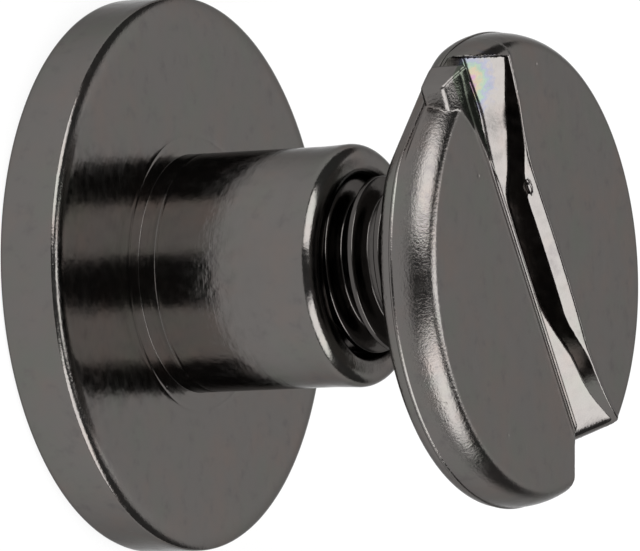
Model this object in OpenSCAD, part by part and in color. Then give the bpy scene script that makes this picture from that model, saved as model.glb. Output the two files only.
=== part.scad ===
// Flat head screw rivet for leather, in two pieces: a post (a flat cap with a hollow, threaded barrel)
// and a slotted screw, drawn part way unscrewed. All sizes are in millimetres.
// The part stands on the cap's flat outer face, with +Z along the barrel and the origin at that face's centre.

/* [Cap] */
// Diameter of the post's flat cap
cap_d = 9.4; // [8:0.1:14]
// Thickness of the cap
cap_t = 1.05; // [0.9:0.05:2]
// Rounding of the cap's two edges
cap_edge_r = 0.15; // [0.02:0.01:0.3]

/* [Barrel] */
// Wall of the barrel, from the root of the bore's thread to the outside
barrel_wall = 0.5; // [0.4:0.01:1]
// Height of the barrel above the cap
barrel_h = 3.47; // [2.8:0.01:8]
// Fillet where the barrel meets the cap
foot_r = 0.05; // [0.03:0.01:0.5]
// How much the barrel swells at its lip
lip_swell = 0.02; // [0:0.01:0.1]
// Length of the swollen stretch below the lip's rounding
lip_swell_l = 0.45; // [0.2:0.05:0.8]
// Outer rounding of the lip
lip_r = 0.26; // [0.1:0.01:0.3]
// Inner rounding of the lip, at the bore's mouth
mouth_r = 0.16; // [0.05:0.01:0.2]

/* [Bore] */
// Diameter of the bore at the root of its thread
bore_d = 3.1; // [3.02:0.01:3.2]
// Diameter of the drilled end below the thread
drill_d = 2.55; // [2.3:0.05:2.7]
// Length of the drilled end below the thread, down to its cone
drill_l = 0.25; // [0.2:0.05:0.3]
// Full angle of the drill's point
drill_angle = 118; // [110:1:140]
// Thickness of the cap that is left under the drill's point
web_t = 0.3; // [0.2:0.02:0.4]

/* [Screw head] */
// Diameter of the head at its seam
head_d = 8.16; // [6:0.02:12]
// Thickness of the head
head_t = 0.98; // [0.9:0.02:1.6]
// Height of the seam line above the head's underside
seam_h = 0.32; // [0.28:0.01:0.5]
// How far the thin seam stands out of the edge
seam_out = 0.03; // [0.01:0.01:0.06]
// Width of the thin seam
seam_w = 0.05; // [0.03:0.01:0.08]
// Rounding of the head's lower edge
under_r = 0.24; // [0.1:0.01:0.3]
// How far the rounded upper edge comes in to the flat face
edge_in = 0.34; // [0.2:0.02:0.6]
// How far the head sits off the thread's axis, along X
head_shift = 0.2; // [0:0.05:0.4]

/* [Slot] */
// Width of the driver slot
slot_w = 1.17; // [0.6:0.01:1.6]
// Depth of the slot where it is deepest
slot_depth = 0.66; // [0.4:0.01:0.7]
// Diameter of the saw that cut the slot, which gives the floor its curve
saw_d = 60; // [40:1:100]
// How far the saw's lowest point is from the head's centre, along the slot
saw_shift = 1.35; // [0:0.05:2]
// Height of the rounded corners between the slot's floor and its walls
corner_h = 0.2; // [0.05:0.01:0.3]
// Width of those rounded corners, across the slot
corner_w = 0.36; // [0.05:0.01:0.4]
// Angle of the slot from the X axis
slot_turn = 30.4; // [0:0.2:90]
// How far the slot's centre line is from the head's centre
slot_shift = 0.18; // [0:0.01:0.3]

/* [Thread] */
// Outer diameter of the screw's thread
thread_d = 3; // [2.8:0.01:3]
// Diameter at the root of the screw's thread
core_d = 2.4; // [2.2:0.01:2.5]
// Rise of the thread in one turn
pitch = 0.5; // [0.4:0.05:0.6]
// Width of the thread's crest
crest_w = 0.07; // [0.04:0.01:0.12]
// Width of the groove's bottom between two turns
root_w = 0.12; // [0.06:0.01:0.18]
// Gap between the shank's tip and the bore's cone when the head is home on the lip
end_gap = 0.05; // [0.02:0.01:0.3]
// Height of the cone at the shank's tip
tip_h = 0.3; // [0.2:0.05:0.4]
// Diameter of the shank's flat tip
tip_d = 2.2; // [1.6:0.05:2.2]
// Angle about the axis at which the thread's helix would meet the head's underside
thread_turn = 137; // [0:1:360]

/* [Assembly] */
// How far the screw's head stands off the barrel's lip
screw_out = 2.23; // [2.05:0.01:3]

/* [Hidden] */
$fn = 96;

BLACK_NICKEL = [0.35, 0.34, 0.33];

// Rise of the post's inner face, the lip and the head's underside above the ground
face_z = cap_t;
lip_z = face_z + barrel_h;
head_z = lip_z + screw_out;

bore_r = bore_d / 2;
barrel_r = bore_r + barrel_wall;
lip_outer_r = barrel_r + lip_swell;
// The lip's two roundings shrink together where the wall is too thin for both
lip_share = min(1, (barrel_wall + lip_swell) / (lip_r + mouth_r));
lip_out_r = lip_r * lip_share;
lip_in_r = mouth_r * lip_share;

// Heights of the drilled end: its point, the top of its cone, and the end of the thread
drill_r = drill_d / 2;
cone_z = web_t + drill_r / tan(drill_angle / 2);
bore_z = cone_z + drill_l;

head_r = head_d / 2;
edge_r = head_r - seam_out;
head_face_r = edge_r - edge_in;
crown_h = head_t - seam_h;
// The lower rounding ends below the seam
under_edge_r = min(under_r, seam_h - seam_w);
// At least this much of half the slot's floor stays flat between its rounded corners
flat_w = 0.02;

thread_r = thread_d / 2;
core_r = core_d / 2;
tip_r = tip_d / 2;
shank_l = lip_z - cone_z - end_gap;
// The thread's ridge reaches this far into the core, and the core this far into the head, so that they fuse
ridge_sink = 0.08;
core_rise = 0.1;
// Stations in one turn of the thread
turn_steps = 30;
// The thread grows to its full height over this part of a turn at each end, from this share of it
fade_turns = 0.5;
fade_start = 0.08;
// The thread starts on the shank's cone and ends half a pitch below the head
thread_start = -shank_l + (tip_h + pitch) / 2;
thread_turns = (-pitch / 2 - thread_start) / pitch;
arc_steps = 10;

// Points of a quarter of an ellipse about a centre, from one angle to another
function arc(centre, rx, ry, from, to) = [
    for (i = [0:arc_steps])
        let (t = from + (to - from) * i / arc_steps)
            [centre[0] + rx * cos(t), centre[1] + ry * sin(t)]
];

// Half section of the cap and barrel, turned about the Z axis
module post_section() {
    swell_z = lip_z - lip_out_r - lip_swell_l;
    polygon(concat(
        [[0, 0]],
        arc([cap_d / 2 - cap_edge_r, cap_edge_r], cap_edge_r, cap_edge_r, -90, 0),
        arc([cap_d / 2 - cap_edge_r, face_z - cap_edge_r], cap_edge_r, cap_edge_r, 0, 90),
        arc([barrel_r + foot_r, face_z + foot_r], foot_r, foot_r, 270, 180),
        [[barrel_r, swell_z]],
        arc([lip_outer_r - lip_out_r, lip_z - lip_out_r], lip_out_r, lip_out_r, 0, 90),
        arc([bore_r + lip_in_r, lip_z - lip_in_r], lip_in_r, lip_in_r, 90, 180),
        [[bore_r, bore_z], [drill_r, bore_z], [drill_r, cone_z], [0, web_t]]
    ));
}

// The post: cap and barrel turned from one bar, with a blind bore
module post() {
    color(BLACK_NICKEL) rotate_extrude() post_section();
}

// Half section of the screw's head, with its underside at z = 0
module head_section() {
    polygon(concat(
        [[0, 0]],
        arc([edge_r - under_edge_r, under_edge_r], under_edge_r, under_edge_r, -90, 0),
        [[edge_r, seam_h - seam_w],
         [head_r, seam_h - seam_w / 2],
         [edge_r, seam_h]],
        arc([head_face_r, seam_h], edge_in, crown_h, 0, 90),
        [[0, head_t]]
    ));
}

// Half section of the saw, whose worn corners are cut in two flats each
module saw_section() {
    saw_r = saw_d / 2;
    half_w = slot_w / 2;
    round_w = min(corner_w, half_w - flat_w);
    bend = 1 - cos(45);
    lower = [
        [0, half_w],
        [saw_r - corner_h, half_w],
        [saw_r - corner_h * bend, half_w - round_w * bend],
        [saw_r, half_w - round_w]
    ];
    upper = [for (i = [3:-1:0]) [lower[i][0], -lower[i][1]]];
    polygon(concat(lower, upper));
}

// The sawn slot: the saw's own disc
module slot_cut() {
    rotate([0, 0, slot_turn])
        translate([saw_shift, slot_shift, head_t - slot_depth + saw_d / 2])
            rotate([90, 0, 0])
                rotate_extrude($fn = 180) saw_section();
}

// The head, set off the thread's axis as it is on the real screw
module head() {
    translate([head_shift, 0, 0])
        difference() {
            rotate_extrude() head_section();
            slot_cut();
        }
}

// How much of the thread's full height stands at a place along it, given in turns
function thread_share(turns) =
    min(1, fade_start + min(turns, thread_turns - turns) / fade_turns);

// The four corners of the thread's ridge at one station: two in the core and two at the crest
function ridge_points(turns) =
    let (
        z = thread_start + pitch * turns,
        angle = thread_turn + 360 * z / pitch,
        crest = core_r + (thread_r - core_r) * thread_share(turns),
        inner = core_r - ridge_sink,
        half_foot = (pitch - root_w) / 2,
        half_crest = crest_w / 2
    )
    [
        for (p = [[inner, -half_foot], [crest, -half_crest], [crest, half_crest], [inner, half_foot]])
            [p[0] * cos(angle), p[0] * sin(angle), z + p[1]]
    ];

// The screw's thread: one ridge swept up a helix
module thread_ridge() {
    stations = floor(thread_turns * turn_steps);
    points = [for (i = [0:stations]) each ridge_points(i / turn_steps)];
    sides = [
        for (i = [0:stations - 1], k = [0:3])
            let (a = 4 * i + k, b = 4 * i + (k + 1) % 4)
                each [[a, b, b + 4], [a, b + 4, a + 4]]
    ];
    last = 4 * stations;
    ends = [[3, 2, 1, 0], [last, last + 1, last + 2, last + 3]];
    polyhedron(points, concat(sides, ends), convexity = 10);
}

// The plain core of the shank, with its cone at the tip
module shank_core() {
    rotate_extrude()
        polygon([
            [0, -shank_l], [tip_r, -shank_l], [core_r, -shank_l + tip_h], [core_r, core_rise], [0, core_rise]
        ]);
}

// The screw, with its head's underside at z = 0
module screw() {
    color(BLACK_NICKEL)
        translate([0, 0, head_z]) {
            head();
            shank_core();
            thread_ridge();
        }
}

post();
screw();
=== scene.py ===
import math

import bpy
import numpy as np
from mathutils import Matrix, Vector


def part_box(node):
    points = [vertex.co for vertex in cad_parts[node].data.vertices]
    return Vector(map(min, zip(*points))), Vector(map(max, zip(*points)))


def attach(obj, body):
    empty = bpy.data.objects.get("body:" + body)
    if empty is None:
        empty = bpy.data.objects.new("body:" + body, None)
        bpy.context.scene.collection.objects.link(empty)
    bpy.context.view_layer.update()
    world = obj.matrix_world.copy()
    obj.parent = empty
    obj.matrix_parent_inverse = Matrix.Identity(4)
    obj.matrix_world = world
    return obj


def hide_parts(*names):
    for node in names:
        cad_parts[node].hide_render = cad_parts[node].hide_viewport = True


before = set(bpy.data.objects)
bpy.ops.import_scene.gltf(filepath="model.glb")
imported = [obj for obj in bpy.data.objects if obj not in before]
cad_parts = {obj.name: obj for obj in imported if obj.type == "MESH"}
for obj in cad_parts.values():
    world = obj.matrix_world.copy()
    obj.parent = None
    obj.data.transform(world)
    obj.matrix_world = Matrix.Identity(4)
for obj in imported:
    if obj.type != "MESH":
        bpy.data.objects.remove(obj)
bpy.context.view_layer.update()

# Lengths below are in millimetres, and meshes are scaled by this to metres
MM = 0.001

# Sizes of the part, worked out from the frame's solids where they show them
post_high = np.array(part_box("post")[1]) / MM
screw_low, screw_high = (np.array(corner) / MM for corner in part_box("screw"))
# The cap is a little larger than the solid's, so that its wider rounding keeps the outline
CAP_R = post_high[0] + 0.06
LIP_Z = post_high[2]
FACE_TOP_Z = screw_high[2]
TIP_Z = screw_low[2]
# Chosen on the photo, and 0.11 mm more than the solid's
CAP_T = 1.16
HEAD_T = 0.98
HEAD_R = (screw_high[0] - screw_low[0]) / 2
HEAD_SHIFT = (screw_high[0] + screw_low[0]) / 2
HEAD_Z = FACE_TOP_Z - HEAD_T

BARREL_R = 2.05
BORE_R = 1.55
LIP_SWELL = 0.02
LIP_SWELL_L = 0.45
LIP_R = 0.26
MOUTH_R = 0.16
FOOT_R = 0.006
CAP_EDGE_R = 0.15
# Width and height of the rounding at the cap's inner edge
EDGE_W = 0.34
EDGE_H = 0.14
FACE_RING_R = 2.36
BARREL_RING_H = 0.34
# Tool marks: half their width, and their depth
TOOL_W = 0.035
TOOL_DEPTH = 0.006
WEB_T = 0.3
DRILL_R = 1.275
DRILL_L = 0.25
DRILL_ANGLE = math.radians(118)
CONE_Z = WEB_T + DRILL_R / math.tan(DRILL_ANGLE / 2)
BORE_Z = CONE_Z + DRILL_L

PITCH = 0.5
THREAD_R = 1.5
CORE_R = 1.2
# Radius at the crest of the bore's own thread
NUT_R = 1.3
THREAD_TURN = math.radians(137)
TIP_H = 0.3
TIP_R = 1.1

SEAM_H = 0.32
SEAM_OUT = 0.03
SEAM_W = 0.05
UNDER_R = 0.24
EDGE_IN = 0.34
SLOT_W = 1.17
SLOT_DEPTH = 0.66
SAW_R = 30
SAW_SHIFT = 1.35
SLOT_TURN = math.radians(30.4)
SLOT_SHIFT = 0.18


# Numbers and shapes

def smooth_step(low, high, value):
    """Rises from 0 at low to 1 at high, with level ends"""
    share = np.clip((value - low) / (high - low), 0, 1)
    return share * share * (3 - 2 * share)


def arc(centre, rx, ry, start, stop, steps):
    """Points of a stretch of an ellipse, with its angles in degrees"""
    angles = np.radians(np.linspace(start, stop, steps + 1))
    return np.column_stack([centre[0] + rx * np.cos(angles), centre[1] + ry * np.sin(angles)])


def line(start, stop, steps):
    """Evenly spaced points from start to stop, without the last one"""
    share = np.linspace(0, 1, steps + 1)[:-1, None]
    return np.array(start) * (1 - share) + np.array(stop) * share


def smooth_max(a, b, radius):
    """The larger of two fields, with the corner between them rounded"""
    blend = np.maximum(radius - np.abs(a - b), 0) / radius
    return np.maximum(a, b) + blend * blend * radius / 4


def smooth_min(a, b, radius):
    """The smaller of two fields, with the corner between them rounded"""
    return -smooth_max(-a, -b, radius)


def smooth_round(values, reach):
    """Values round a ring, each averaged with its neighbours"""
    total = sum(np.roll(values, shift) for shift in range(-reach, reach + 1))
    return total / (2 * reach + 1)


def new_piece(name, corners, faces, body, node, normals=None):
    """Makes a smooth mesh object from corners in millimetres, which rides on a body and stands for a node"""
    mesh = bpy.data.meshes.new(name)
    mesh.from_pydata(np.asarray(corners, float) * MM, [], faces)
    mesh.update()
    mesh.shade_smooth()
    if normals is not None:
        mesh.normals_split_custom_set_from_vertices(normals)
    piece = bpy.data.objects.new(name, mesh)
    bpy.context.scene.collection.objects.link(piece)
    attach(piece, body)
    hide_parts(node)
    return piece


def lathe_faces(rows, around):
    """Quads between neighbouring rings of corners"""
    ring = np.arange(around)
    after = (ring + 1) % around
    faces = []
    for row in range(rows - 1):
        low, high = row * around, (row + 1) * around
        faces.extend(np.column_stack([low + ring, low + after, high + after, high + ring]).tolist())
    return faces


def fan_faces(centre, first, around, outward):
    """Triangles that close a ring of corners onto one corner"""
    ring = np.arange(around)
    after = (ring + 1) % around
    order = [np.full(around, centre), first + after, first + ring]
    if outward:
        order = order[::-1]
    return np.column_stack(order).tolist()


# The post

AROUND = 288


def thread_radius(z, turn, inner, outer, foot, crest):
    """Radius of a right-handed V thread, for a ridge or groove with these widths at its foot and crest"""
    phase = (z - HEAD_Z) / PITCH - (turn - THREAD_TURN) / (2 * math.pi)
    away = np.abs(phase - np.round(phase)) * PITCH
    share = 1 - smooth_step(0, 1, np.clip((away - crest / 2) / ((foot - crest) / 2), 0, 1))
    return inner + (outer - inner) * share


def ring_cut(place, inward):
    """Points of a shallow tool mark: on the face from outside in, and up the barrel"""
    across = np.linspace(-1, 1, 9)
    deep = TOOL_DEPTH * np.cos(across * math.pi / 2)
    run = np.array([-1, 0]) if inward[1] else np.array([0, 1])
    return np.array(place) + TOOL_W * across[:, None] * run + deep[:, None] * np.array(inward)


def post_outline():
    """Half section of the post, from its outer face round the cap and barrel to the thread's mouth"""
    swell_z = LIP_Z - LIP_R - LIP_SWELL_L
    lip_outer = BARREL_R + LIP_SWELL
    outer = CAP_R - CAP_EDGE_R
    return np.vstack([
        line((0.4, 0), (outer, 0), 10),
        arc((outer, CAP_EDGE_R), CAP_EDGE_R, CAP_EDGE_R, -90, 0, 6),
        line((CAP_R, CAP_EDGE_R + 0.05), (CAP_R, CAP_T - EDGE_H), 6),
        arc((CAP_R - EDGE_W, CAP_T - EDGE_H), EDGE_W, EDGE_H, 0, 90, 10),
        line((CAP_R - EDGE_W - 0.04, CAP_T), (FACE_RING_R + 0.05, CAP_T), 40),
        ring_cut((FACE_RING_R, CAP_T), (0, -1)),
        line((FACE_RING_R - 0.05, CAP_T), (BARREL_R + FOOT_R + 0.01, CAP_T), 3),
        arc((BARREL_R + FOOT_R, CAP_T + FOOT_R), FOOT_R, FOOT_R, 270, 180, 4),
        line((BARREL_R, CAP_T + FOOT_R + 0.01), (BARREL_R, CAP_T + BARREL_RING_H - 0.05), 4),
        ring_cut((BARREL_R, CAP_T + BARREL_RING_H), (-1, 0)),
        line((BARREL_R, CAP_T + BARREL_RING_H + 0.05), (BARREL_R, swell_z), 24),
        line((BARREL_R, swell_z), (lip_outer, LIP_Z - LIP_R), 5),
        arc((lip_outer - LIP_R, LIP_Z - LIP_R), LIP_R, LIP_R, 0, 90, 14),
        arc((BORE_R + MOUTH_R, LIP_Z - MOUTH_R), MOUTH_R, MOUTH_R, 90, 180, 9),
    ])


def build_post():
    """The cap and barrel as one turned piece, with the bore's thread cut in it"""
    turn = np.arange(AROUND) * 2 * math.pi / AROUND
    outline = post_outline()
    rings = [np.column_stack([r * np.cos(turn), r * np.sin(turn), np.full(AROUND, z)]) for r, z in outline]
    mouth_z = LIP_Z - MOUTH_R
    steps = int((mouth_z - BORE_Z) / 0.026)
    for z in np.linspace(mouth_z, BORE_Z, steps + 1)[1:]:
        grown = smooth_step(mouth_z, mouth_z - 0.3, z) * smooth_step(BORE_Z, BORE_Z + 0.2, z)
        minor = BORE_R + (NUT_R - BORE_R) * grown
        radius = thread_radius(z, turn, minor, BORE_R, 0.42, 0.12)
        rings.append(np.column_stack([radius * np.cos(turn), radius * np.sin(turn), np.full(AROUND, z)]))
    drilled = [(DRILL_R, BORE_Z - 0.01), (DRILL_R, CONE_Z), (DRILL_R / 2, (CONE_Z + WEB_T) / 2),
               (0.1, WEB_T + 0.06)]
    for r, z in drilled:
        rings.append(np.column_stack([r * np.cos(turn), r * np.sin(turn), np.full(AROUND, z)]))
    corners = np.vstack(rings + [[[0, 0, 0], [0, 0, WEB_T]]])
    rows = len(rings)
    faces = lathe_faces(rows, AROUND)
    faces += fan_faces(rows * AROUND, 0, AROUND, outward=False)
    faces += fan_faces(rows * AROUND + 1, (rows - 1) * AROUND, AROUND, outward=True)
    return new_piece("post_body", corners, faces, "post", "post")


# The screw's shank

def build_shank():
    """The core and its thread, from the cone at the tip to inside the head"""
    around = 192
    turn = np.arange(around) * 2 * math.pi / around
    top_z = HEAD_Z + 0.2
    steps = int((top_z - TIP_Z) / 0.0125)
    rings = []
    for z in np.linspace(TIP_Z, top_z, steps + 1):
        cone = TIP_R + (THREAD_R - TIP_R) * np.clip((z - TIP_Z) / (TIP_H * 1.3), 0, 1)
        radius = thread_radius(z, turn, CORE_R, THREAD_R, 0.38, 0.07)
        radius = np.minimum(radius, cone)
        rings.append(np.column_stack([radius * np.cos(turn), radius * np.sin(turn), np.full(around, z)]))
    corners = np.vstack(rings + [[[0, 0, TIP_Z], [0, 0, top_z]]])
    rows = len(rings)
    faces = lathe_faces(rows, around)
    faces += fan_faces(rows * around, 0, around, outward=False)
    faces += fan_faces(rows * around + 1, (rows - 1) * around, around, outward=True)
    return new_piece("screw_shank", corners, faces, "screw", "screw")


# The screw's head

HEAD_PLACE = np.array([HEAD_SHIFT, 0, HEAD_Z])
HEAD_TURN = np.array([
    [math.cos(SLOT_TURN), -math.sin(SLOT_TURN), 0],
    [math.sin(SLOT_TURN), math.cos(SLOT_TURN), 0],
    [0, 0, 1],
])


def head_body(r, z):
    """Field that is negative inside the plain round head, with z above its underside"""
    edge_r = HEAD_R - SEAM_OUT
    face_r = edge_r - EDGE_IN
    crown = HEAD_T - SEAM_H
    across = np.maximum(r - face_r, 0) / EDGE_IN
    up = (z - SEAM_H) / crown
    size = np.sqrt(across * across + up * up) + 1e-9
    steep = np.sqrt((across / EDGE_IN) ** 2 + (up / crown) ** 2) / size + 1e-9
    upper = (size - 1) / steep
    out = np.maximum(r - (edge_r - UNDER_R), 0)
    down = np.maximum(UNDER_R - z, 0)
    lower = np.sqrt(out * out + down * down) - UNDER_R
    lower = np.where(r < edge_r - UNDER_R, -z, lower)
    return np.where(z > SEAM_H, upper, lower)


# Stations along the slot, from its upper end in the picture to its lower one. At each stands where the far
# wall's top is across the slot, and how high that wall's foot is above the head's underside.
# These lists and the flap's began as places that scratch scripts worked out from the photo, and were then
# changed by hand.
ALONG = np.array([-4.5, -3.45, -2.75, -2.1, -1.6, -1.0, 0.0, 1.0, 1.5, 2.1, 2.7, 3.0, 3.4, 4.3])
FAR_EDGE = np.array([1.2, 1.14, 1.02, 0.83, 0.74, 0.74, 0.76, 0.75, 0.73, 0.70, 0.75, 0.80, 0.90, 1.30])
WALL_FOOT = np.array([0.92, 0.88, 0.73, 0.66, 0.58, 0.42, 0.36, 0.40, 0.50, 0.62, 0.67, 0.71, 0.81, 1.02])
# How steeply the floor rises to the far wall's foot, and past it
FLANK = 1.1
PAST_FLANK = 0.6
NEAR_EDGE = SLOT_SHIFT - SLOT_W / 2 - 0.05

# The burr along the near edge, which grows into a flap toward the upper end: its height, its width and the
# place of its edge at the slot
FLAP_AT = np.array([-4.5, -4.1, -3.67, -3.12, -2.47, -1.8, 0.0])
FLAP_H = np.array([0.17, 0.17, 0.149, 0.082, 0.026, 0.0, 0.0])
FLAP_W = np.array([0.38, 0.36, 0.297, 0.165, 0.07, 0.05, 0.05])
FLAP_EDGE = NEAR_EDGE + np.array([-0.12, -0.13, -0.16, -0.06, -0.004, 0.0, 0.0])

# Where the slot's upper end and the flap stop, along the part's X axis from the head's middle
END_X = -3.57
FLAP_X = -3.49
# The flap's slab: its outer radius, its low side across the slot, its underside and its end along the slot
FLAP_R = 4.33
FLAP_SIDE = -1.12
FLAP_UNDER = 0.45
FLAP_END = -1.7

# The strip on the far wall: how far in and how far down it reaches, and its slope
STRIP_W = 0.145
STRIP_DEEP = 0.15
STRIP_SLOPE = 1.03
# How much smaller the rim is along the part's X axis
RIM_TRIM = 0.055
# Places along the slot: the floor is level from the first toward the upper end, where the solid's goes on
# rising with the saw's arc, and it rounds off from the second at the lower end
LEVEL_AT = -0.6
ROUND_AT = 3.58

# Two flats on the head's edge, one pressed and one worn: the way each faces, along and across the slot, and
# its distance from the head's middle
PRESSED_WAY = (-0.97, -0.242)
PRESSED_AT = 3.74
WORN_WAY = (0.597, 0.802)
WORN_AT = 1.36
# The chip on the far edge: its middle, and its half widths
CHIP_AT = (-1.22, 0.63, 0.89)
CHIP_R = (0.13, 0.05, 0.06)


def smooth_curve(at, stations, values):
    """A smooth curve through values at stations"""
    slopes = np.gradient(values, stations)
    at = np.clip(at, stations[0], stations[-1])
    first = np.clip(np.searchsorted(stations, at) - 1, 0, len(stations) - 2)
    step = stations[first + 1] - stations[first]
    t = (at - stations[first]) / step
    start, stop = values[first], values[first + 1]
    rise_in, rise_out = slopes[first] * step, slopes[first + 1] * step
    gap = stop - start
    bend = 3 * gap - 2 * rise_in - rise_out + t * (rise_in + rise_out - 2 * gap)
    return start + t * (rise_in + t * bend)


def part_x(along, across):
    """The place along the part's X axis from the head's middle"""
    return along * math.cos(SLOT_TURN) - across * math.sin(SLOT_TURN)


def slot_field(along, across, z):
    """Field that is negative in the slot"""
    far = smooth_curve(along, ALONG, FAR_EDGE)
    foot = smooth_curve(along, ALONG, WALL_FOOT)
    # The sloping strip along the top of the far wall
    strip = smooth_step(-2.2, -0.9, along) * smooth_step(2.4, 1.2, along)
    wall = far - STRIP_W * strip
    strip_z = HEAD_T - STRIP_DEEP * strip + (across - wall) * STRIP_SLOPE
    low = smooth_step(2.9, 3.9, along)
    off_saw = np.maximum(along, LEVEL_AT) - SAW_SHIFT
    base = HEAD_T - SLOT_DEPTH + SAW_R - np.sqrt(SAW_R ** 2 - off_saw ** 2)
    # It drops a little past the middle, and again at the lower end
    base = base - 0.08 * smooth_step(0.6, 1.6, along) - 0.2 * low
    flank = foot - FLANK * np.maximum(wall - across, 0) + PAST_FLANK * np.maximum(across - wall, 0)
    # The floor is rounded off where it leaves the rim at the lower end
    floor = smooth_max(base, flank, 0.05) - 4 * np.maximum(along - ROUND_AT, 0) ** 2
    edge = smooth_curve(along, FLAP_AT, FLAP_EDGE)
    near = NEAR_EDGE + (edge - NEAR_EDGE) * smooth_step(0.5, HEAD_T, z)
    sides = smooth_max(near - across, smooth_min(across - wall, strip_z - z, 0.02), 0.02)
    # The slot stops at a line across the rim at its upper end
    return smooth_max(smooth_max(sides, floor - z, 0.05), END_X - part_x(along, across), 0.02)


def lump(along, across, z, centre, radii):
    """Field of a small rounded lump of metal"""
    parts = zip((along, across, z), centre, radii)
    squares = [((value - middle) / radius) ** 2 for value, middle, radius in parts]
    return (np.sqrt(sum(squares)) - 1) * min(radii)


def head_field(points):
    """Field that is negative inside the slotted head; points are along the slot, across it and up"""
    along, across, z = points[..., 0], points[..., 1], points[..., 2]
    x = part_x(along, across)
    # The rim is a little smaller along the part's X axis
    round_r = np.sqrt(along ** 2 + across ** 2)
    r = round_r + RIM_TRIM * (x / HEAD_R) ** 2 * smooth_step(2.5, 3.7, round_r)
    # The burr's flap rises toward the slot's near edge, and overhangs the rim at the upper end
    edge = smooth_curve(along, FLAP_AT, FLAP_EDGE)
    tall = smooth_curve(along, FLAP_AT, FLAP_H)
    width = smooth_curve(along, FLAP_AT, FLAP_W)
    far = smooth_curve(along, ALONG, FAR_EDGE)
    off_near = edge - across
    off_far = across - far
    # A low lip runs along each edge, with a faint second one beside the near edge
    lip = (0.045 - 0.037 * smooth_step(-1.9, -2.7, along)) * np.exp(-((off_near - 0.01) / 0.04) ** 2)
    lip = lip + 0.006 * np.exp(-((off_near - 0.15) / 0.03) ** 2)
    lip = lip + 0.012 * np.exp(-((off_far - 0.03) / 0.03) ** 2)
    body = head_body(r, z - lip * (z > SEAM_H))
    # Under the flap the rim is pressed flat, furthest in at its foot
    pressed = along * PRESSED_WAY[0] + across * PRESSED_WAY[1] - PRESSED_AT
    pressed = pressed - 0.45 * (z - 0.1) - 1.5 * np.maximum(z - 0.4, 0)
    body = smooth_max(body, pressed, 0.1)
    flap = z - HEAD_T - tall * ((across - edge) / width + 1) - lip + 0.4 * smooth_step(-2.5, -2.0, along)
    sides = (
        (round_r - FLAP_R, 0.06), (FLAP_SIDE - across, 0.08), (across - edge, 0.01), (FLAP_X - x, 0.03),
        (FLAP_UNDER - z, 0.12), (along - FLAP_END, 0.01),
    )
    for other, soft in sides:
        flap = smooth_max(flap, other, soft)
    body = smooth_min(body, flap, 0.015)
    # The near side's end is worn off at the lower end
    worn = along * WORN_WAY[0] + across * WORN_WAY[1] - WORN_AT
    worn = np.minimum(worn, np.minimum(z - 0.4, -across))
    body = smooth_max(body, np.where(along > 2, worn, -1), 0.06)
    cut = smooth_max(body, -slot_field(along, across, z), 0.012)
    return smooth_min(cut, lump(along, across, z, CHIP_AT, CHIP_R), 0.02)


def surface_net(field, xs, ys, zs):
    """Corners and faces of a field's zero surface, one corner to each cell that it crosses"""
    grid = np.stack(np.meshgrid(xs, ys, zs, indexing="ij"), axis=-1)
    value = field(grid)
    cells = tuple(n - 1 for n in value.shape)
    total = np.zeros(cells + (3,))
    count = np.zeros(cells)
    crossed = []
    for axis in range(3):
        first = [slice(None)] * 3
        second = [slice(None)] * 3
        first[axis] = slice(None, -1)
        second[axis] = slice(1, None)
        a, b = value[tuple(first)], value[tuple(second)]
        change = (a < 0) != (b < 0)
        share = np.where(change, a / np.where(change, a - b, 1), 0)[..., None]
        point = grid[tuple(first)] * (1 - share) + grid[tuple(second)] * share
        point *= change[..., None]
        others = [k for k in range(3) if k != axis]
        for i in (0, 1):
            for j in (0, 1):
                part = [slice(None)] * 3
                part[others[0]] = slice(i, cells[others[0]] + i)
                part[others[1]] = slice(j, cells[others[1]] + j)
                total += point[tuple(part)]
                count += change[tuple(part)]
        crossed.append((change, a < 0))
    used = count > 0
    corners = total[used] / count[used][:, None]
    index = np.full(cells, -1)
    index[used] = np.arange(used.sum())
    faces = []
    for axis in range(3):
        change, inside = crossed[axis]
        u, v = (axis + 1) % 3, (axis + 2) % 3
        place = np.argwhere(change)
        keep = np.ones(len(place), bool)
        for k in (u, v):
            keep &= (place[:, k] > 0) & (place[:, k] < value.shape[k] - 1)
        place = place[keep]
        ring = []
        for du, dv in ((1, 1), (0, 1), (0, 0), (1, 0)):
            cell = place.copy()
            cell[:, u] -= du
            cell[:, v] -= dv
            ring.append(index[tuple(cell.T)])
        quads = np.column_stack(ring)
        flip = ~inside[tuple(place.T)]
        quads[flip] = quads[flip][:, ::-1]
        faces.append(quads)
    return corners, np.vstack(faces)


def slope_of(field, points, reach=0.004):
    """The field's gradient"""
    parts = []
    for axis in range(3):
        step = np.zeros(3)
        step[axis] = reach
        parts.append((field(points + step) - field(points - step)) / (2 * reach))
    return np.stack(parts, axis=-1)


def settle(field, points, rounds=4, reach=0.02):
    """Moves points onto the field's zero surface"""
    for _ in range(rounds):
        slope = slope_of(field, points)
        size = (slope ** 2).sum(axis=-1, keepdims=True) + 1e-9
        points = points - np.clip(field(points)[..., None] * slope / size, -reach, reach)
    return points


def fine_steps(low, high, coarse, fine, spots, reach):
    """Grid lines from low to high, close together within reach of each spot"""
    lines = [low]
    while lines[-1] < high:
        here = lines[-1]
        near = min(abs(here - spot) for spot in spots)
        lines.append(here + (fine if near < reach else coarse))
    return np.array(lines)


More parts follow.
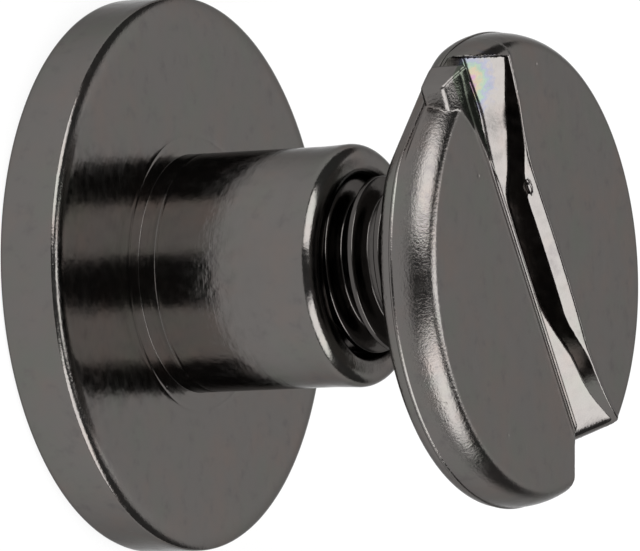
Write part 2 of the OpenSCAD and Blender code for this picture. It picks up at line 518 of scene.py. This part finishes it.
def build_head():
    """The formed head with its slot, flap and chip"""
    reach = HEAD_R + 0.4
    # Grid lines are closer at the slot's upper end, at its two edges, and at the face and the seam
    xs = fine_steps(-reach, reach, 0.055, 0.035, (-3.5,), 1.0)
    ys = fine_steps(-reach, reach, 0.065, 0.024, (-0.58, 0.7), 0.32)
    zs = fine_steps(-0.1, HEAD_T + 0.25, 0.04, 0.022, (HEAD_T, SEAM_H), 0.1)
    corners, faces = surface_net(head_field, xs, ys, zs)
    corners = settle(head_field, corners)
    normals = slope_of(head_field, corners)
    normals /= np.linalg.norm(normals, axis=1)[:, None]
    corners = corners @ HEAD_TURN.T + HEAD_PLACE
    normals = normals @ HEAD_TURN.T
    return new_piece("screw_head", corners, faces.tolist(), "screw", "screw", normals)


def build_seam():
    """The thin seam round the rim, laid on the head's own surface"""
    around = 900
    turn = np.arange(around) * 2 * math.pi / around
    seam_z = SEAM_H - SEAM_W / 2
    # A radius inside the head and one outside close in on its surface
    near, far = np.full(around, 3.2), np.full(around, HEAD_R + 0.3)
    for _ in range(20):
        middle = (near + far) / 2
        spot = np.column_stack([middle * np.cos(turn), middle * np.sin(turn), np.full(around, seam_z)])
        inside = head_field(spot) < 0
        near, far = np.where(inside, middle, near), np.where(inside, far, middle)
    rim = smooth_round(near, 9)
    rings = []
    # How far out and up each line of corners is, as shares of the seam's size
    for out, up in ((-0.04, -0.7), (0.2, -0.5), (0.6, -0.2), (0.6, 0.2), (0.2, 0.5), (-0.04, 0.7)):
        r = rim + out * SEAM_OUT
        z = np.full(around, seam_z + up * SEAM_W)
        rings.append(np.column_stack([r * np.cos(turn), r * np.sin(turn), z]))
    corners = np.vstack(rings) @ HEAD_TURN.T + HEAD_PLACE
    faces = lathe_faces(len(rings), around)
    return new_piece("screw_seam", corners, faces, "screw", "screw")


# Shader nodes

def add(tree, kind, inputs=None, **settings):
    """Adds a shader node; an input is a value or another node's output"""
    made = tree.nodes.new(kind)
    for name, value in settings.items():
        setattr(made, name, value)
    for name, value in (inputs or {}).items():
        if isinstance(value, bpy.types.NodeSocket):
            tree.links.new(value, made.inputs[name])
        else:
            made.inputs[name].default_value = value
    return made


def maths(tree, operation, *values):
    """Output of a Math node"""
    return add(tree, "ShaderNodeMath", dict(enumerate(values)), operation=operation).outputs[0]


def rise(tree, value, low, high, start=0.0, stop=1.0):
    """Output that goes smoothly from start at low to stop at high"""
    inputs = {"Value": value, "From Min": low, "From Max": high, "To Min": start, "To Max": stop}
    return add(tree, "ShaderNodeMapRange", inputs, interpolation_type="SMOOTHSTEP").outputs["Result"]


def band(tree, value, low, high, soft):
    """Output that is 1 between low and high, with soft ends"""
    start = rise(tree, value, low - soft, low + soft)
    stop = rise(tree, value, high - soft, high + soft, 1.0, 0.0)
    return maths(tree, "MULTIPLY", start, stop)


def noise(tree, where, scale, detail=3.0, rough=0.5):
    """Output of a noise texture, about 0.5"""
    inputs = {"Vector": where, "Scale": scale, "Detail": detail, "Roughness": rough}
    return add(tree, "ShaderNodeTexNoise", inputs).outputs["Fac"]


def place_of(tree):
    """The point in the part's own frame, in millimetres"""
    where = add(tree, "ShaderNodeTexCoord").outputs["Object"]
    return add(tree, "ShaderNodeVectorMath", {0: where, "Scale": 1 / MM}, operation="SCALE").outputs[0]


# Materials

# Reflectance of the black nickel plate, and the three tints that it drifts between
PLATE = (0.138, 0.130, 0.125)
BROWN = (0.150, 0.130, 0.121)
GREEN = (0.132, 0.134, 0.122)
DARKER = (0.118, 0.110, 0.108)
# Painted shade inside the bore and on the shank, and a painted dark reflection on the flap
BORE_PAINTED_SHADE = (0.03, 0.028, 0.027)
FLAP_PAINTED_REFLECTION = (0.07, 0.078, 0.064)
SHANK_PAINTED_SHADE = (0.075, 0.07, 0.067)
# Thin film colours of the stained patch in the slot, from its middle outwards
STAIN = ((0.155, 0.100, 0.135), (0.160, 0.140, 0.100), (0.112, 0.145, 0.115), (0.105, 0.112, 0.155))
# The patch's middle and half widths, along and across the slot
STAIN_AT = (-3.25, 0.64)
STAIN_R = (0.5, 0.3)


def mix(tree, share, first, second):
    """Colour output that goes from first to second"""
    inputs = {"Factor": share}
    made = add(tree, "ShaderNodeMix", inputs, data_type="RGBA")
    for socket, value in ((made.inputs[6], first), (made.inputs[7], second)):
        if isinstance(value, bpy.types.NodeSocket):
            tree.links.new(value, socket)
        else:
            socket.default_value = (*value, 1)
    return made.outputs[2]


def plate(name):
    """Black nickel plate; returns the material, its tree, its surface node and the place in millimetres"""
    material = bpy.data.materials.new(name)
    material.use_nodes = True
    tree = material.node_tree
    surface = tree.nodes["Principled BSDF"]
    surface.inputs["Metallic"].default_value = 1
    surface.inputs["Specular Tint"].default_value = (0.45, 0.45, 0.45, 1)
    where = place_of(tree)
    rough = rise(tree, noise(tree, where, 5.0, 4.0), 0.3, 0.75, 0.12, 0.22)
    tree.links.new(rough, surface.inputs["Roughness"])
    return material, tree, surface, where


def moved(tree, where, far):
    """The place shifted, so that a second noise differs from the first"""
    return add(tree, "ShaderNodeVectorMath", {0: where, 1: (far, far, far)}, operation="ADD").outputs[0]


def mottled(tree, where):
    """The plate's colour, which drifts a little toward brown, green and dark"""
    brown = rise(tree, noise(tree, where, 1.1, 3.0, 0.6), 0.4, 0.8)
    green = rise(tree, noise(tree, moved(tree, where, 17.0), 0.9, 3.0, 0.6), 0.42, 0.8)
    dark = rise(tree, noise(tree, moved(tree, where, 31.0), 3.2, 4.0, 0.65), 0.52, 0.78)
    colour = mix(tree, brown, PLATE, BROWN)
    colour = mix(tree, green, colour, GREEN)
    return mix(tree, dark, colour, DARKER)


def pits(tree, where, scale, size):
    """Output that dips from 1 to 0 in small scattered pits"""
    cells = add(tree, "ShaderNodeTexVoronoi", {"Vector": where, "Scale": scale})
    lucky = rise(tree, noise(tree, moved(tree, where, 5.0), scale * 0.4, 1.0), 0.52, 0.6)
    hole = rise(tree, cells.outputs["Distance"], size * 0.4, size, 1.0, 0.0)
    return maths(tree, "SUBTRACT", 1.0, maths(tree, "MULTIPLY", hole, lucky))


def weighted(tree, *parts):
    """Sum of outputs, each times its weight"""
    total = 0.0
    for value, weight in parts:
        total = maths(tree, "MULTIPLY_ADD", value, weight, total)
    return total


def roughen(tree, surface, height):
    """Gives the surface a bump whose height is in micrometres"""
    bump = add(tree, "ShaderNodeBump", {"Height": height, "Distance": 0.000001, "Strength": 1.0})
    tree.links.new(bump.outputs[0], surface.inputs["Normal"])


def radius_of(tree, x, y):
    """Distance from an upright axis"""
    squares = maths(tree, "ADD", maths(tree, "MULTIPLY", x, x), maths(tree, "MULTIPLY", y, y))
    return maths(tree, "SQRT", squares)


def post_material():
    """Turned and plated: fine rings about the axis, a scuffed barrel, pits, a grainy cap edge and lip"""
    material, tree, surface, where = plate("post_plate")
    x, y, z = add(tree, "ShaderNodeSeparateXYZ", {0: where}).outputs
    radius = radius_of(tree, x, y)
    ring_place = add(tree, "ShaderNodeCombineXYZ", {0: radius, 1: z, 2: 0.0}).outputs[0]
    rings = noise(tree, ring_place, 14.0, 4.0, 0.6)
    out = rise(tree, radius, CAP_R - 0.3, CAP_R - 0.1)
    edge = maths(tree, "MULTIPLY", out, rise(tree, z, CAP_T - 0.25, CAP_T - 0.1))
    lip = maths(tree, "MULTIPLY", rise(tree, z, LIP_Z - 0.4, LIP_Z - 0.25), 0.6)
    scuffed = band(tree, z, CAP_T + 0.75, CAP_T + 1.55, 0.3)
    scuffs = maths(tree, "MULTIPLY", noise(tree, where, 7.0, 3.0, 0.6), scuffed)
    grainy = maths(tree, "ADD", maths(tree, "MAXIMUM", edge, lip), 0.12)
    grain = maths(tree, "MULTIPLY", noise(tree, where, 26.0, 2.0, 0.6), grainy)
    waves = noise(tree, where, 2.2, 3.0, 0.55)
    dents = pits(tree, where, 2.4, 0.09)
    height = weighted(tree, (rings, 1.5), (waves, 6.0), (scuffs, 4.0), (grain, 3.0), (dents, 2.5))
    roughen(tree, surface, height)
    # Painted shade: the base colour goes very dark inside the bore and its mouth
    inside = rise(tree, radius, BORE_R + 0.02, BORE_R + 0.16, 1.0, 0.0)
    colour = mix(tree, inside, mottled(tree, where), BORE_PAINTED_SHADE)
    tree.links.new(colour, surface.inputs["Base Color"])
    return material


def screw_material():
    """Formed and plated: a grainy rim, pits, faint streaks, a painted dark reflection on the flap, painted
    shade on the shank, and a stained patch in the slot
    """
    material, tree, surface, where = plate("screw_plate")
    inputs = {0: where, 1: tuple(HEAD_PLACE)}
    centred = add(tree, "ShaderNodeVectorMath", inputs, operation="SUBTRACT").outputs[0]
    inputs = {"Vector": centred, "Axis": (0, 0, 1), "Angle": -SLOT_TURN}
    own = add(tree, "ShaderNodeVectorRotate", inputs, rotation_type="AXIS_ANGLE").outputs[0]
    along, across, z = add(tree, "ShaderNodeSeparateXYZ", {0: own}).outputs
    radius = radius_of(tree, along, across)
    out = rise(tree, radius, HEAD_R - 0.45, HEAD_R - 0.3)
    rim = maths(tree, "MULTIPLY", out, rise(tree, across, -0.6, -1.0))
    rim = maths(tree, "ADD", maths(tree, "MULTIPLY", rim, 0.9), 0.1)
    grain = maths(tree, "MULTIPLY", noise(tree, where, 24.0, 3.0, 0.65), rim)
    inputs = {0: where, 1: (0.7, 9.0, 1.0)}
    streaked = add(tree, "ShaderNodeVectorMath", inputs, operation="MULTIPLY").outputs[0]
    waves = noise(tree, where, 2.6, 3.0, 0.55)
    dents = pits(tree, where, 2.0, 0.1)
    streaks = noise(tree, streaked, 1.6, 3.0, 0.6)
    height = weighted(tree, (waves, 5.0), (grain, 6.5), (dents, 5.0), (streaks, 1.6))
    roughen(tree, surface, height)

    colour = mottled(tree, where)
    # Painted dark reflection: the base colour goes darker and greenish on the flap and lips raised above the
    # face at the slot's upper end
    above = rise(tree, z, HEAD_T + 0.012, HEAD_T + 0.04)
    painted_flap_reflection = maths(tree, "MULTIPLY", above, rise(tree, along, -2.3, -1.9, 1.0, 0.0))
    colour = mix(tree, painted_flap_reflection, colour, FLAP_PAINTED_REFLECTION)
    # Painted shade: the base colour goes dark on the shank below the head, where it sits inside the post
    shank = rise(tree, z, -0.3, -0.1, 1.0, 0.0)
    colour = mix(tree, shank, colour, SHANK_PAINTED_SHADE)

    wobble = maths(tree, "MULTIPLY", maths(tree, "SUBTRACT", noise(tree, where, 9.0, 3.0), 0.5), 0.9)
    off_along = maths(tree, "DIVIDE", maths(tree, "SUBTRACT", along, STAIN_AT[0]), STAIN_R[0])
    off_across = maths(tree, "DIVIDE", maths(tree, "SUBTRACT", across, STAIN_AT[1]), STAIN_R[1])
    away = maths(tree, "ADD", radius_of(tree, off_along, off_across), wobble)
    stain = STAIN[0]
    for ring, tint in enumerate(STAIN[1:]):
        stain = mix(tree, rise(tree, away, 0.2 + 0.25 * ring, 0.5 + 0.25 * ring), stain, tint)
    low = rise(tree, z, HEAD_T - 0.06, HEAD_T - 0.02, 1.0, 0.0)
    spot = maths(tree, "MULTIPLY", rise(tree, away, 0.8, 1.25, 1.0, 0.0), low)
    tree.links.new(mix(tree, spot, colour, stain), surface.inputs["Base Color"])
    return material


# Camera, floor and light

# Where the camera stands, in metres, from a fit to the photo
CAMERA_PLACE = (0.000139, -0.115611, 0.065950)
CAMERA_HEIGHT = math.radians(28.36)
CAMERA_ROLL = math.radians(87.2)
CAMERA_LENS = 434.1


def build_camera():
    """Looks at the part from the side, rolled so that the barrel's axis lies across the picture"""
    data = bpy.data.cameras.new("camera")
    data.lens = CAMERA_LENS
    data.sensor_width = 36
    data.sensor_fit = "HORIZONTAL"
    data.clip_start = 0.01
    data.clip_end = 10
    camera = bpy.data.objects.new("camera", data)
    turn = Matrix.Rotation(math.pi / 2 - CAMERA_HEIGHT, 4, "X") @ Matrix.Rotation(CAMERA_ROLL, 4, "Z")
    camera.matrix_world = Matrix.Translation(Vector(CAMERA_PLACE)) @ turn
    bpy.context.scene.collection.objects.link(camera)
    bpy.context.scene.camera = camera


def seen_rays(tree):
    """1 for the rays that see the background: from the camera, from gloss and through glass"""
    rays = add(tree, "ShaderNodeLightPath").outputs
    seen = maths(tree, "MAXIMUM", rays["Is Camera Ray"], rays["Is Glossy Ray"])
    return maths(tree, "MAXIMUM", seen, rays["Is Transmission Ray"])


def build_floor():
    """A plain pale floor under the cap, on which the part leaves a faint shadow"""
    size = 1.5
    mesh = bpy.data.meshes.new("floor")
    corners = [(-size, -size, 0), (size, -size, 0), (size, size, 0), (-size, size, 0)]
    mesh.from_pydata(corners, [], [(0, 1, 2, 3)])
    floor = bpy.data.objects.new("floor", mesh)
    bpy.context.scene.collection.objects.link(floor)
    material = bpy.data.materials.new("floor")
    material.use_nodes = True
    tree = material.node_tree
    tree.nodes.clear()
    plain = add(tree, "ShaderNodeBsdfDiffuse", {"Color": (0.9, 0.9, 0.9, 1)})
    white = add(tree, "ShaderNodeEmission", {"Color": (1, 1, 1, 1), "Strength": 1.0})
    share = maths(tree, "MULTIPLY", seen_rays(tree), 0.88)
    mixed = add(tree, "ShaderNodeMixShader", {0: share, 1: plain.outputs[0], 2: white.outputs[0]})
    add(tree, "ShaderNodeOutputMaterial", {"Surface": mixed.outputs[0]})
    mesh.materials.append(material)


# Brightness of the soft panels, and of the room's dark side
PANEL = 4.6
DARK = 0.12


def build_world():
    """A white room with a dark side toward the camera, two tall soft panels and one overhead"""
    world = bpy.data.worlds.new("world")
    bpy.context.scene.world = world
    world.use_nodes = True
    tree = world.node_tree
    tree.nodes.clear()
    way = add(tree, "ShaderNodeTexCoord").outputs["Generated"]
    x, y, z = add(tree, "ShaderNodeSeparateXYZ", {0: way}).outputs
    # Directions in degrees: azimuth and height, and lean and side for the panel overhead
    toward = maths(tree, "MULTIPLY", y, -1.0)
    azimuth = maths(tree, "DEGREES", maths(tree, "ARCTAN2", x, toward))
    height = maths(tree, "DEGREES", maths(tree, "ARCSINE", z))
    lean = maths(tree, "DEGREES", maths(tree, "ARCTAN2", y, z))
    side = maths(tree, "DEGREES", maths(tree, "ARCSINE", x))
    left = band(tree, azimuth, -75.0, -20.0, 4.0)
    right = band(tree, azimuth, 32.0, 92.0, 4.0)
    panels = maths(tree, "MULTIPLY", maths(tree, "ADD", left, right), band(tree, height, 8.0, 56.0, 3.0))
    above = maths(tree, "MULTIPLY", band(tree, lean, -8.0, 40.0, 4.0), band(tree, side, -10.0, 13.0, 3.0))
    behind = maths(tree, "MULTIPLY", rise(tree, maths(tree, "ABSOLUTE", azimuth), 143.0, 151.0),
                   rise(tree, height, 50.0, 56.0, 1.0, 0.0))
    below = rise(tree, height, -2.0, 1.0, 1.0, 0.0)
    bright = maths(tree, "MULTIPLY", maths(tree, "MAXIMUM", panels, above), PANEL)
    white = maths(tree, "MAXIMUM", maths(tree, "MAXIMUM", behind, below), DARK)
    level = maths(tree, "MAXIMUM", bright, white)
    lit = add(tree, "ShaderNodeBackground", {"Color": (1, 1, 1, 1), "Strength": level})
    plain = add(tree, "ShaderNodeBackground", {"Color": (1, 1, 1, 1), "Strength": 1.0})
    seen = add(tree, "ShaderNodeLightPath").outputs["Is Camera Ray"]
    mixed = add(tree, "ShaderNodeMixShader", {0: seen, 1: lit.outputs[0], 2: plain.outputs[0]})
    add(tree, "ShaderNodeOutputWorld", {"Surface": mixed.outputs[0]})


build_camera()
build_floor()
build_world()

post = build_post()
shank = build_shank()
head = build_head()
seam = build_seam()
post.data.materials.append(post_material())
metal = screw_material()
shank.data.materials.append(metal)
head.data.materials.append(metal)
seam.data.materials.append(metal)

bpy.context.scene.view_settings.view_transform = "Standard"
